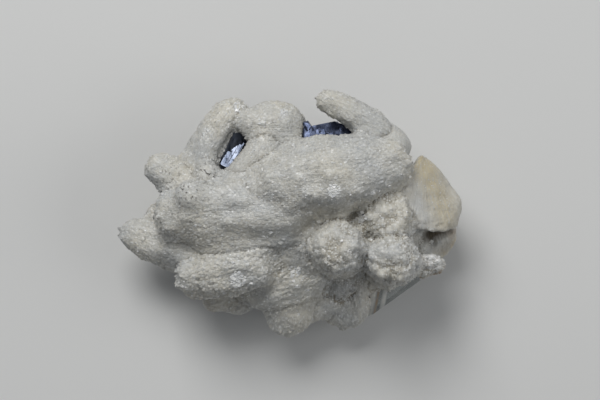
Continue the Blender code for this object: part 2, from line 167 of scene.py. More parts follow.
# which crystal each surface point belongs to, the way that it grew, how far along it the point is,
# and how far off the next crystal's skin is, both in mm
def nearestHost(points):
    closest = np.full(len(points), np.inf)
    depths = np.empty((len(hostRows), len(points)))
    axes = np.empty((len(hostRows), 3))
    host = np.zeros(len(points), int)
    alongAxis = np.zeros(len(points))
    for number, (root, tip, width, depth, profile, *_) in enumerate(hostRows):
        axis = np.subtract(tip, root)
        length = np.linalg.norm(axis)
        axis = axis / length
        axes[number] = axis
        along = np.clip((points - root) @ axis / length, 0, 1)
        distance = np.linalg.norm(points - root - np.outer(along * length, axis), axis=1)
        shape = profiles[profile]
        radius = np.interp(along, np.linspace(0, 1, len(shape)), shape) * (width + depth) / 4
        depths[number] = distance - radius
        nearer = depths[number] < closest
        closest[nearer] = depths[number][nearer]
        host[nearer] = number
        alongAxis[nearer] = along[nearer] * length
    kin = hostFamily[:, None] == hostFamily[host][None]
    return host, axes[host], alongAxis, np.where(kin, np.inf, depths).min(axis=0) - closest


def meshPoints(mesh):
    points = np.empty(len(mesh.vertices) * 3)
    mesh.vertices.foreach_get("co", points)
    return points.reshape(-1, 3) / mm


def setPoints(mesh, points):
    mesh.vertices.foreach_set("co", (points * mm).ravel())
    mesh.update()


def pointNormals(mesh):
    normals = np.empty(len(mesh.vertices) * 3)
    mesh.vertex_normals.foreach_get("vector", normals)
    return normals.reshape(-1, 3)


def applyModifier(piece, kind, **settings):
    deselectAll()
    piece.select_set(True)
    bpy.context.view_layer.objects.active = piece
    modifier = piece.modifiers.new(kind.lower(), kind)
    for name, value in settings.items():
        setattr(modifier, name, value)
    bpy.ops.object.modifier_apply(modifier=modifier.name)


def setAttribute(mesh, name, values):
    layer = mesh.attributes.new(name, "FLOAT", "POINT")
    layer.data.foreach_set("value", np.asarray(values, np.float32))


# dark specks and rusty stains sit where the piece has them, and the same table places painted shade and
# painted light: place and reach in mm, strength
soilAndPaintedLight = {
    "fadesOut": 1.3,     # full strength up to 0.3 of the reach, nothing from 1.3 of it
    "specks": (
        ((-29.5, 6.0, 40), 5.0, 0.9), ((-24.0, 10.0, 33), 4.5, 1.0), ((-7.0, 21.5, 31), 5.0, 0.6),
        ((-33.0, 1.0, 34), 4.0, 0.5), ((-12.5, 25.5, 35.5), 2.5, 0.6), ((6.0, -16.0, 27), 2.5, 1.0),
        ((-20.0, -24.0, 22), 4.0, 0.4), ((-35.0, 11.0, 30), 5.0, 0.5), ((-42.0, -9.0, 24), 5.0, 0.4),
        ((20.0, -4.0, 32), 4.0, 0.4), ((-12.0, -21.0, 30), 5.0, 0.4),
    ),
    "stains": (
        ((44.0, -17.6, 24.5), 1.6, 1.0), ((42.2, -18.9, 24.5), 1.6, 1.0), ((40.0, -19.8, 24.5), 1.6, 1.0),
        ((37.8, -20.0, 24.5), 1.5, 1.0), ((47.0, -10.0, 12), 4.0, 0.5), ((48.6, -7.0, 17), 2.2, 0.7),
        ((49.0, -3.0, 20), 3.0, 0.5), ((-26.0, -28.0, 12), 4.0, 0.4), ((27.0, -24.0, 14), 4.0, 0.4),
    ),
    # deep shade under the plate's ledge, in two runs of spots
    "recesses": (
        *[
            ((41.2 + 0.6 * k, -7.3 + 0.13 * k, 19.6 - 0.25 * k), 2.5 - 0.14 * k, 1.1 - 0.04 * k)
            for k in range(10)
        ],
        *[
            ((41.2 + 0.2 * k, -8.0 - 0.5 * k, 19.2 - 0.3 * k), 1.9 - 0.15 * k, 1.0 - 0.1 * k)
            for k in range(5)
        ],
    ),
    # honey-coloured growth down the plate
    "yellows": (
        *[((38.5 + 0.7 * k, 14.0 - 1.7 * k, 30.5 - 0.4 * k), 4.5, 1.0 - 0.04 * k) for k in range(10)],
        ((48.0, -9.0, 13), 2.5, 0.9), ((46.0, -12.0, 13), 2.0, 0.5),
    ),
    # painted light: white spots as painted highlights on the crust, and a spot of painted light on the corner
    # block where it lies in shade
    "paintedLightSpots": (
        ((12.2, 6.0, 46), 2.2, 1.0), ((-15.0, -19.4, 33), 2.8, 1.0), ((1.5, -17.0, 33), 2.0, 1.0),
        ((20.3, -1.5, 36), 2.0, 0.8), ((-15.0, 30.0, 32), 2.2, 0.7), ((-24.0, 23.0, 30), 2.2, 0.7),
        ((-2.0, 27.5, 33), 1.8, 0.8), ((41.0, -14.5, 27), 5.0, 1.0),
    ),
}


def soilAndPaintedLightAt(points, kind):
    amount = np.zeros(len(points))
    for place, reach, strength in soilAndPaintedLight[kind]:
        distance = np.linalg.norm(points - np.array(place), axis=1) / reach
        amount = np.maximum(amount, strength * np.clip(soilAndPaintedLight["fadesOut"] - distance, 0, 1))
    return amount


# corners of the two smooth flat-faced crystals in mm, as in the solid
flatCrystals = {
    "fanPlate": (
        (38.0, 17.0, 30), (43.8, 12.0, 28), (49.9, 3.6, 24), (50.2, 1.5, 22), (49.0, -4.5, 22),
        (45.0, -6.0, 27), (40.5, -6.0, 30), (36.0, -4.0, 31), (33.0, 3.5, 33), (34.5, 10.5, 32),
        (36.0, 13.0, 9), (46.0, 3.5, 8), (46.0, -3.5, 8), (37.0, -4.0, 8), (29.0, 3.5, 8),
    ),
    "fanFoot": (
        (49.0, -4.0, 16), (49.0, -8.5, 14), (47.8, -11.0, 13), (45.0, -14.0, 12), (43.0, -14.5, 12),
        (40.0, -12.5, 16), (40.5, -7.5, 20), (45.0, -4.0, 21), (46.0, -5.0, 5), (44.0, -11.0, 4),
        (36.0, -10.0, 4), (34.0, -2.0, 4), (34.0, -2.0, 18),
    ),
}


# the planes of a crystal's faces: their normals, and how far each lies from the origin in mm
def hullPlanes(name, corners):
    bm = bmesh.new()
    made = bmesh.ops.convex_hull(bm, input=[bm.verts.new(Vector(corner) * mm) for corner in corners])
    spare = made["geom_interior"] + made["geom_unused"]
    inside = {item for item in spare if isinstance(item, bmesh.types.BMVert)}
    bmesh.ops.delete(bm, geom=list(inside), context="VERTS")
    bmesh.ops.recalc_face_normals(bm, faces=bm.faces)
    mesh = bpy.data.meshes.new(name)
    bm.to_mesh(mesh)
    bm.free()
    normals = np.array([polygon.normal[:] for polygon in mesh.polygons])
    corner = [mesh.vertices[polygon.vertices[0]].co for polygon in mesh.polygons]
    offsets = np.array([polygon.normal.dot(at) / mm for polygon, at in zip(mesh.polygons, corner)])
    bpy.data.meshes.remove(mesh)
    return normals, offsets


flatPlanes = [hullPlanes(name, corners) for name, corners in flatCrystals.items()]


# 1 where the crust is a smooth flat-faced crystal, fading out beyond it
def onFlatCrystal(points):
    onIt = np.zeros(len(points))
    for normals, offsets in flatPlanes:
        depth = (points @ normals.T - offsets).max(axis=1)
        onIt = np.maximum(onIt, np.clip((crust["flatReach"] - np.abs(depth)) / crust["flatFade"], 0, 1))
    return onIt


# the galena blocks as in the solid: middle and edges in mm, spin and tilts in degrees
galenaBlocks = {
    "cleaved": (
        ((-16.8, 17.2, 20.5), (8.5, 13.0, 13.0), -25, (12, 16)),
        ((-15.8, 14.6, 21.8), (3.4, 9.0, 13.0), -25, (-20, -8)),
    ),
    "etched": (
        ((4.0, 18.5, 20.0), (10.0, 10.0, 15.0), 28, (-12, -10)),
        ((10.0, 19.2, 20.5), (9.0, 9.0, 15.0), 12, (-16, 6)),
        ((15.5, 20.0, 20.0), (9.0, 8.5, 13.0), -10, (-8, 12)),
    ),
}


def blockTurn(spin, tilts):
    tilted = Matrix.Rotation(math.radians(tilts[1]), 3, "Y") @ Matrix.Rotation(math.radians(tilts[0]), 3, "X")
    return np.array(tilted @ Matrix.Rotation(math.radians(spin), 3, "Z"))


print("crust: the solid's own shape, with the fibrous skin of each crystal")
crust = {
    # lengths in mm, but for the doubles' in metres
    "voxel": 0.54, "doubles": 0.00001,
    "smoothing": 42, "smoothFactor": 0.6,
    "backEdge": 1.5,        # the skin sets in over this height above the flat back
    "sunk": 0.12,       # the whole skin sits this much lower, so that it stays in the solid's size
    "fibreWidth": 0.8, "fibreLength": 4.2, "fibreSharpness": 2.4,
    "shingleLength": 4.2, "shingleWidth": 2.2, "shingleRagged": 1.6,
    "knobSteepness": 1.4,
    "grainSize": 0.7, "grainHeight": 0.09, "swellSize": 4.6,
    # so that no two crystals have the same pattern
    "fibreShift": (13.7, 7.1, 3.3), "shingleShift": 5.3,
    "flatReach": 0.8, "flatFade": 0.5,      # the crust is smooth this near a flat crystal's faces
    # the plate is ribbed like a fan from its upper corner: ribs to a radian, to a mm outwards and upwards
    "fanApex": (38.0, 17.0), "fanStretch": (26, 0.22, 0.15), "fanRibs": 0.16,
    "plateWaves": 0.30, "plateWaveSize": 3.1,
    # and its lower edge is a ledge of ragged steps
    "ledgeSteps": 0.3, "ledgeStepWidth": 1.3, "ledgeRagged": 1.4, "ledgeRaggedSize": 2.4,
    "ledgeFrom": -1.0, "ledgeFade": 3, "ledgeAbove": 20,
    "recessDepth": 1.5, "recessWay": (0.15, -0.35, 0.92),
    # crust this near the galena's sides closes on it and grows over its edges, with a ragged rim
    "rimReach": 1.0, "rimOverlap": 0.7, "rimHold": 0.9, "rimSteepest": 0.7, "rimRaggedSize": 1.7,
    "touching": 0.01,
    "creaseReach": 1.3, "creaseDepth": 0.45,     # where two crystals meet
    # painted shade: how much darker brown the creases and the hollows between knobs are coloured, and how
    # deep in mm a hollow counts
    "creaseShade": 0.3, "hollowDepth": 0.5, "knobby": 0.3, "darkestShade": 0.75,
    # how far from a crease the skin has grown over the gap
    "fillReach": {
        "greatRight": 2.0, "greatLeft": 3.5, "upper": 1.2, "bare": 1.2, "lowerLeft": 3.0, "shingled": 1.5,
        "bottom": 3.0, "lumps": 0.8, "foot": 3.0,
    },
    # region: how far the facets are smoothed, then the height of fibres, shingles, knobs and swellings in mm,
    # and how wide the knobs are
    "skins": {
        "greatRight": (1.0, 0.11, 0.10, 0.05, 0.12, 1.5), "greatLeft": (1.0, 0.11, 0.06, 0.05, 0.12, 1.5),
        "upper": (0.75, 0.12, 0.06, 0.16, 0.30, 1.5), "bare": (1.0, 0.04, 0.0, 0.0, 0.1, 1.5),
        "lowerLeft": (0.75, 0.15, 0.12, 0.14, 0.30, 1.5), "shingled": (0.7, 0.24, 0.20, 0.0, 0.30, 1.5),
        "bottom": (0.8, 0.15, 0.14, 0.20, 0.40, 1.5), "lumps": (0.40, 0.06, 0.0, 0.85, 0.95, 2.3),
        "foot": (0.7, 0.20, 0.2, 0.30, 0.3, 1.5),
    },
}


# a coordinate that is stretched along the way that each crystal grew, so that patterns run along it
def fibreCoordinates(points, axes, along, host, flat):
    sideways = points - axes * np.sum(points * axes, axis=1)[:, None]
    grown = sideways / crust["fibreWidth"] + axes * (along / crust["fibreLength"])[:, None]
    grown = grown + host[:, None] * crust["fibreShift"]
    fromApex = points[:, :2] - crust["fanApex"]
    angle = np.arctan2(fromApex[:, 0], -fromApex[:, 1])
    radius = np.linalg.norm(fromApex, axis=1)
    around, outward, upward = crust["fanStretch"]
    fan = np.stack((angle * around, radius * outward, points[:, 2] * upward), axis=1)
    return np.where(flat[:, None] > 0.5, fan, grown)


# crust close to the galena closes in on it, with a ragged rim
def overGalena(points):
    for middle, edges, spin, tilts in galenaBlocks["cleaved"] + galenaBlocks["etched"]:
        turned = blockTurn(spin, tilts)
        local = (points - middle) @ turned
        nearest = np.clip(local, -np.array(edges) / 2, np.array(edges) / 2)
        away = local - nearest
        distance = np.linalg.norm(away, axis=1)
        beside = np.abs(away[:, 2]) < distance * crust["rimSteepest"]
        for i in np.flatnonzero((distance > crust["touching"]) & (distance < crust["rimReach"]) & beside):
            ragged = 0.5 + noise.noise(Vector(points[i]) / crust["rimRaggedSize"])
            reach = distance[i] * crust["rimHold"] + crust["rimOverlap"] * ragged
            points[i] -= turned @ (away[i] / distance[i]) * max(reach, 0.0)
    return points


# height in mm of fibres, shingles, knobs, swellings and grain on the rounded crystals
def skinHeights(points, skins, fibre, sideways, along):
    raised = np.empty(len(points))
    for i, (_, fibreHeight, shingleHeight, knobHeight, swell, knobSize) in enumerate(skins):
        point = Vector(points[i])
        height = (1 - abs(noise.noise(Vector(fibre[i]))) * crust["fibreSharpness"]) * fibreHeight
        height += noise.noise(point / crust["swellSize"]) * swell
        if shingleHeight:
            ragged = noise.noise(Vector(sideways[i])) * crust["shingleRagged"]
            step = along[i] / crust["shingleLength"] + ragged
            height += (step - math.floor(step) - 0.5) * shingleHeight
        if knobHeight:
            nearest = noise.voronoi(point / knobSize)[0][0]
            height += (0.5 - nearest * crust["knobSteepness"]) * knobHeight
        raised[i] = height + noise.noise(point / crust["grainSize"]) * crust["grainHeight"]
    return raised


# height in mm of ribs, waves, grain and the ledge's steps on the flat crystals
def plateHeights(points, fibre, flat):
    onLedge = np.clip((crust["ledgeFrom"] - points[:, 1]) / crust["ledgeFade"], 0, 1)
    onLedge = onLedge * (points[:, 2] > crust["ledgeAbove"])
    plates = np.zeros(len(points))
    for i in np.flatnonzero(flat > 0):
        point = Vector(points[i])
        plates[i] = noise.noise(Vector(fibre[i])) * crust["fanRibs"]
        plates[i] += noise.noise(point / crust["plateWaveSize"]) * crust["plateWaves"]
        plates[i] += noise.noise(point / crust["grainSize"]) * crust["grainHeight"]
        ragged = noise.noise(point / crust["ledgeRaggedSize"]) * crust["ledgeRagged"]
        step = points[i, 1] / crust["ledgeStepWidth"] + ragged
        plates[i] -= (step - math.floor(step)) * crust["ledgeSteps"] * onLedge[i]
    return plates


def makeCrust():
    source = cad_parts["calcite_cluster"]
    piece = bpy.data.objects.new("calciteCrust", source.data.copy())
    bpy.context.scene.collection.objects.link(piece)
    piece.data.materials.clear()
    deselectAll()
    piece.select_set(True)
    bpy.context.view_layer.objects.active = piece
    bpy.ops.object.mode_set(mode="EDIT")
    bpy.ops.mesh.select_all(action="SELECT")
    bpy.ops.mesh.remove_doubles(threshold=crust["doubles"])
    bpy.ops.object.mode_set(mode="OBJECT")
    applyModifier(piece, "REMESH", mode="VOXEL", voxel_size=crust["voxel"] * mm)
    points = meshPoints(piece.data)
    host, axes, along, nextSkin = nearestHost(points)
    skins = np.array([crust["skins"][region] for region in hostRegions])[host]
    flat = onFlatCrystal(points)
    crease = np.clip(1 - nextSkin / crust["creaseReach"], 0, 1) * (1 - flat)
    offBack = np.clip(points[:, 2] / crust["backEdge"], 0, 1)      # the flat back stays flat
    # the gaps between crystals are filled and the facets rounded
    reach = np.array([crust["fillReach"][region] for region in hostRegions])[host]
    fill = np.clip(reach - nextSkin, 0, None) ** 2 / (4 * reach)
    setPoints(piece.data, points + pointNormals(piece.data) * (fill * offBack * (1 - flat))[:, None])
    group = piece.vertex_groups.new(name="rounded")
    rounded = np.round(skins[:, 0] * (1 - flat) * offBack, 1)
    for amount in np.unique(rounded):
        group.add(np.flatnonzero(rounded == amount).tolist(), float(amount), "REPLACE")
    smoothing = {"factor": crust["smoothFactor"], "iterations": crust["smoothing"]}
    applyModifier(piece, "SMOOTH", vertex_group="rounded", **smoothing)
    # and the skin grows on them
    points, normals = meshPoints(piece.data), pointNormals(piece.data)
    fibre = fibreCoordinates(points, axes, along, host, flat)
    sideways = (points - axes * np.sum(points * axes, axis=1)[:, None]) / crust["shingleWidth"]
    sideways = sideways + host[:, None] * crust["shingleShift"]
    raised = skinHeights(points, skins, fibre, sideways, along)
    raised = (raised - crust["sunk"] - crease * crust["creaseDepth"]) * offBack * (1 - flat)
    raised += plateHeights(points, fibre, flat) * flat * offBack
    # painted shade: the same amount dents the recess in and paints dark brown shade into its colour
    recess = soilAndPaintedLightAt(points, "recesses")
    points += normals * raised[:, None]
    points -= np.outer(recess * crust["recessDepth"], crust["recessWay"])
    points = overGalena(points)
    points[:, 2] = np.maximum(points[:, 2], 0)
    setPoints(piece.data, points)
    piece.vertex_groups.clear()
    layer = piece.data.attributes.new("fibre", "FLOAT_VECTOR", "POINT")
    layer.data.foreach_set("vector", fibre.astype(np.float32).ravel())
    # painted shade: creases and the hollows between knobs are coloured brown where shade falls
    paintedShade = np.clip(-raised, 0, crust["hollowDepth"]) * (skins[:, 3] > crust["knobby"])
    # painted light: one of these marks brightens the colour on the white spots as painted light
    marks = {
        "flat": flat, "paintedShade": np.clip(crease * crust["creaseShade"] + paintedShade, 0, crust["darkestShade"]),
        "stain": soilAndPaintedLightAt(points, "stains"), "speck": soilAndPaintedLightAt(points, "specks"), "recess": recess,
        "yellow": soilAndPaintedLightAt(points, "yellows"), "paintedBrightness": soilAndPaintedLightAt(points, "paintedLightSpots"),
    }
    for name, values in marks.items():
        setAttribute(piece.data, name, values)
    for polygon in piece.data.polygons:
        polygon.use_smooth = True
    return piece


calciteCrust = makeCrust()
print("crust vertices", len(calciteCrust.data.vertices))

print("druse: small calcite crystals, laid along the crystals that they grow on")
druse = {
    # length in mm, width as a share of it, spacing and lift in mm: coarse, medium and fine crystals
    "sizes": ((1.35, 0.30, 2.6, -0.06), (1.0, 0.30, 1.2, -0.04), (0.75, 0.34, 0.82, 0.0)),
    "lengthSpread": (0.65, 1.35), "widthSpread": (0.8, 1.3),
    "wobble": 0.22,
    "tangle": 0.6,      # the lumps' small crystals stand every way
    "softness": 0.74,       # how far a small crystal's faces take the light as the crust does
    "sparkling": 0.028, "sparklingSoftness": 0.1,       # share of crystals that catch the light by themselves, and are drawn white as painted glints
    "palest": 0.7, "paintedLightPatches": 0.9,     # how white the others are at most, and how white they are drawn on the spots of painted light
    "seed": 11,
    "clearOfBack": 0.8, "lowest": 0.05, "facingDown": -0.95,
    "clearOfRecess": 0.3,
    # patches of larger glassy crystals, drawn white as painted highlights: x, y and reach in mm
    "glassyPatches": (
        (12.2, 6.0, 1.9), (-15.0, -19.4, 2.3), (1.5, -17.0, 1.7), (20.3, -1.5, 1.6),
        (-15.0, 30.0, 1.4), (-24.0, 23.0, 1.2), (-1.5, 28.5, 1.2), (-8.0, 26.0, 0.9),
    ),
    "patchGrowth": 1.6, "facingUp": 0.2,
    # share of the seats on the smooth crystals that carry a very small crystal, its size and how deep it sits
    "plateBloom": 0.6, "plateSize": 0.55, "plateSunk": 0.05, "plateFrom": 0.3,
}

# a steep rhombohedron, calcite's own form, standing on its long diagonal
rhombPoints = np.array(
    [(0, 0, -0.5)]
    + [(math.cos(turn * k / 3), math.sin(turn * k / 3), -1 / 6) for k in range(3)]
    + [(math.cos(turn * (k + 0.5) / 3), math.sin(turn * (k + 0.5) / 3), 1 / 6) for k in range(3)]
    + [(0, 0, 0.5)]
)
rhombFaces = np.array(
    [(0, 1 + (k + 1) % 3, 4 + k, 1 + k) for k in range(3)]
    + [(7, 4 + k, 1 + (k + 1) % 3, 4 + (k + 1) % 3) for k in range(3)]
)


# turns that stand each small crystal along its direction, rolled about it
def crystalFrames(directions, rolls):
    helper = np.where(np.abs(directions[:, 2:3]) < 0.9, (0.0, 0.0, 1.0), (1.0, 0.0, 0.0))
    sideways = np.cross(helper, directions)
    sideways /= np.linalg.norm(sideways, axis=1)[:, None]
    upward = np.cross(directions, sideways)
    c, s = np.cos(rolls)[:, None], np.sin(rolls)[:, None]
    return np.stack((sideways * c + upward * s, upward * c - sideways * s, directions), axis=2)


# small crystals lie along the big crystal's axis, raised from its face by their lean
def growCrystals(seats, normals, axes, leans, lengths, widths, rng):
    backward = np.minimum(np.sum(axes * normals, axis=1), 0)[:, None]
    directions = axes - normals * backward + normals * np.tan(np.radians(leans))[:, None]
    directions += rng.normal(0, druse["wobble"], directions.shape)
    directions /= np.linalg.norm(directions, axis=1)[:, None]
    turned = crystalFrames(directions, rng.uniform(0, turn, len(seats)))
    scaled = rhombPoints[None] * np.stack((widths, widths, lengths), axis=1)[:, None, :]
    return seats[:, None, :] + np.einsum("nij,nkj->nki", turned, scaled)


# the faces' own normals, turned towards the crust's, so that the druse takes the light softly
def softNormals(corners, crustNormals, softness):
    quads = corners[:, rhombFaces]
    own = np.cross(quads[:, :, 2] - quads[:, :, 0], quads[:, :, 3] - quads[:, :, 1])
    own /= np.linalg.norm(own, axis=2)[:, :, None]
    softened = own * (1 - softness)[:, None, None] + crustNormals[:, None, :] * softness[:, None, None]
    softened /= np.linalg.norm(softened, axis=2)[:, :, None]
    return np.repeat(softened.reshape(-1, 3), 4, axis=0)


def faceSeats(mesh):
    count = len(mesh.polygons)
    centres, normals = np.empty(count * 3), np.empty(count * 3)
    mesh.polygons.foreach_get("center", centres)
    mesh.polygons.foreach_get("normal", normals)
    return centres.reshape(-1, 3) / mm, normals.reshape(-1, 3)


# one seat in each cell of a grid, picked at random
def spreadSeats(centres, spacing, rng):
    order = rng.permutation(len(centres))
    cells = np.floor(centres[order] / spacing + rng.uniform(0, 1, 3)).astype(int)
    _, first = np.unique(cells, axis=0, return_index=True)
    return order[np.sort(first)]


# where the druse may grow, where its crystals are glassy, and where they stand on a smooth crystal
def druseGround(centres, normals, regions, rng):
    bloom = rng.uniform(0, 1, len(centres)) < druse["plateBloom"]
    onPlate = (onFlatCrystal(centres) > druse["plateFrom"]) | (regions == "bare")
    free = (centres[:, 2] > druse["clearOfBack"]) & (normals[:, 2] > druse["facingDown"]) & (~onPlate | bloom)
    free &= soilAndPaintedLightAt(centres, "recesses") < druse["clearOfRecess"]
    glassy = np.zeros(len(centres), bool)
    for x, y, reach in druse["glassyPatches"]:
        inPatch = np.hypot(centres[:, 0] - x, centres[:, 1] - y) < reach
        glassy |= inPatch & (normals[:, 2] > druse["facingUp"])
    return free, glassy, onPlate


# all crystals of one region in one mesh
def joinedDruse(region, batches, material):
    corners, tint, places, shading = (np.concatenate(parts) for parts in zip(*batches))
    corners[:, :, 2] = np.maximum(corners[:, :, 2], druse["lowest"])
    count, each = len(corners), len(rhombPoints)
    faces = (rhombFaces[None] + (np.arange(count) * each)[:, None, None]).reshape(-1, 4)
    mesh = bpy.data.meshes.new(f"{region}Druse")
    mesh.from_pydata((corners.reshape(-1, 3) * mm).tolist(), [], faces.tolist(), shade_flat=False)
    mesh.normals_split_custom_set(shading.reshape(-1, 3).tolist())
    marks = {"tint": tint, "stain": soilAndPaintedLightAt(places, "stains"), "speck": soilAndPaintedLightAt(places, "specks")}
    for name, values in marks.items():
        setAttribute(mesh, name, np.repeat(values, each))
    mesh.materials.append(material)
    piece = bpy.data.objects.new(f"{region}Druse", mesh)
    bpy.context.scene.collection.objects.link(piece)
    print("druse", region, count, "crystals")
    return piece


def makeDruse(material):
    rng = np.random.default_rng(druse["seed"])
    centres, normals = faceSeats(calciteCrust.data)
    host, axes, _, _ = nearestHost(centres)
    leans, grain, regions = hostLeans[host], hostSizes[host], hostRegions[host]
    tangled = regions == "lumps"
    axes[tangled] = rng.normal(0, druse["tangle"], (np.count_nonzero(tangled), 3))
    free, glassy, onPlate = druseGround(centres, normals, regions, rng)
    grown = {}
    for length, share, spacing, lift in druse["sizes"]:
        picked = spreadSeats(centres, spacing, rng)
        picked = picked[free[picked]]
        lengths = length * grain[picked] * rng.uniform(*druse["lengthSpread"], len(picked))
        lengths *= np.where(glassy[picked], druse["patchGrowth"], 1.0)
        lengths *= np.where(onPlate[picked], druse["plateSize"], 1.0)
        widths = lengths * share * rng.uniform(*druse["widthSpread"], len(picked))
        seats = centres[picked] + normals[picked] * (lift - druse["plateSunk"] * onPlate[picked])[:, None]
        corners = growCrystals(seats, normals[picked], axes[picked], leans[picked], lengths, widths, rng)
        tint = rng.uniform(0, 1, len(picked)) * druse["palest"]
        # painted light: crystals on the painted light spots, and the sparkling and glassy ones, are drawn
        # whiter as painted highlights
        tint = np.maximum(tint, soilAndPaintedLightAt(centres[picked], "paintedLightSpots") * druse["paintedLightPatches"])
        sparkling = (rng.uniform(0, 1, len(picked)) < druse["sparkling"]) | glassy[picked]
        tint = np.where(sparkling, 1.0, tint)
        softness = np.where(sparkling, druse["sparklingSoftness"], druse["softness"])
        shading = softNormals(corners, normals[picked], softness).reshape(len(picked), -1, 3)
        for region in np.unique(regions[picked]):
            here = regions[picked] == region
            batch = (corners[here], tint[here], centres[picked][here], shading[here])
            grown.setdefault(region, []).append(batch)
    return [joinedDruse(region, batches, material) for region, batches in grown.items()]


# what every finish of the calcite shares: colours, sizes of patterns in mm, and how deep light goes in
calcite = {
    # the brightest white is painted light, and the hollows' brown and the recess's dark brown are painted
    # shade
    "cream": "#c3bfb3", "grey": "#b6b6b2", "white": "#e6e6e3", "paintedLightWhite": "#f6f6f4",
    "stain": "#8a6836", "speck": "#2f261c", "paintedShade": "#7a6f5a", "plate": "#b8a779", "recess": "#3f3522",
    "ior": 1.6, "roughness": 0.45, "dull": 0.6, "glossy": 0.22, "whitened": 0.8, "whiteFrom": 0.3,
    "subsurface": 0.35, "subsurfaceColour": (1.0, 0.9, 0.75), "subsurfaceReach": 0.0012,
    # size of the cream and grey patches, and between which values of the noise one turns into the other
    "patches": (14.3, 0.36, 0.62),
    # the same for rust, for specks of dirt, and for the patches of painted light
    "soil": (("stain", 3.85, 0.30, 0.62), ("speck", 0.952, 0.60, 0.63)),
    "paintedLightPatches": (1.11, 0.4, 0.6),
    # streaks to a fibre's width, between which values of the noise they turn white, and the plate yellow,
    # and how strong they are on the plate
    "streaks": 1.6, "streakContrast": 0.38, "whiteStreaks": (0.45, 0.75), "yellowStreaks": (0.30, 0.60),
    "plateStreaks": 0.9,
    # the sugary grain is finer than this, and is drawn as coarse as it needs to show
    "sugarSize": 0.667, "sugarShare": 0.6,
    "relief": 0.8, "reliefDepth": 0.0004,
}


# the calcite's own colour with its rust and dirt
def soiledColour(tree, place, colour):
    for kind, size, low, high in calcite["soil"]:
        broken = {"Vector": place, "Scale": patternScale(size), "Detail": 2.0}
        broken = addNode(tree, "TexNoise", "Fac", broken)
        broken = addNode(tree, "MapRange", "Result", {"Value": broken, "From Min": low, "From Max": high})
        amount = addNode(tree, "Attribute", "Fac", attribute_name=kind)
        amount = addNode(tree, "Math", "Value", {0: amount, 1: broken}, operation="MULTIPLY")
        mix = {"Factor": amount, "A": colour, "B": linearColour(calcite[kind])}
        colour = addNode(tree, "Mix", "Result", mix, data_type="RGBA")
    return colour


# calcite: lets light a little way in, cream in some places and grey in others
def calciteBase(name):
    finish = {
        "IOR": calcite["ior"], "Roughness": calcite["roughness"], "Subsurface Weight": calcite["subsurface"],
        "Subsurface Radius": calcite["subsurfaceColour"], "Subsurface Scale": calcite["subsurfaceReach"],
    }
    material, tree, shader = newMaterial(name, finish)
    place = addNode(tree, "TexCoord", "Object")
    size, low, high = calcite["patches"]
    patches = addNode(tree, "TexNoise", "Fac", {"Vector": place, "Scale": patternScale(size), "Detail": 3.0})
    patches = addNode(tree, "MapRange", "Result", {"Value": patches, "From Min": low, "From Max": high})
    mix = {"Factor": patches, "A": linearColour(calcite["grey"]), "B": linearColour(calcite["cream"])}
    return material, tree, shader, place, addNode(tree, "Mix", "Result", mix, data_type="RGBA")


# calcite druse: tiny crystals, matt as a whole, whiter at random, and a few of them glossy and drawn white as
# painted highlights
def calciteDruseMaterial():
    material, tree, shader, place, colour = calciteBase("calciteDruse")
    tint = addNode(tree, "Attribute", "Fac", attribute_name="tint")
    white = {"Value": tint, "From Min": calcite["whiteFrom"], "To Max": calcite["whitened"]}
    white = addNode(tree, "MapRange", "Result", white)
    mix = {"Factor": white, "A": colour, "B": linearColour(calcite["white"])}
    colour = addNode(tree, "Mix", "Result", mix, data_type="RGBA")
    tree.links.new(soiledColour(tree, place, colour), shader.inputs["Base Color"])
    gloss = {"Value": tint, "To Min": calcite["dull"], "To Max": calcite["glossy"]}
    tree.links.new(addNode(tree, "MapRange", "Result", gloss), shader.inputs["Roughness"])
    return material


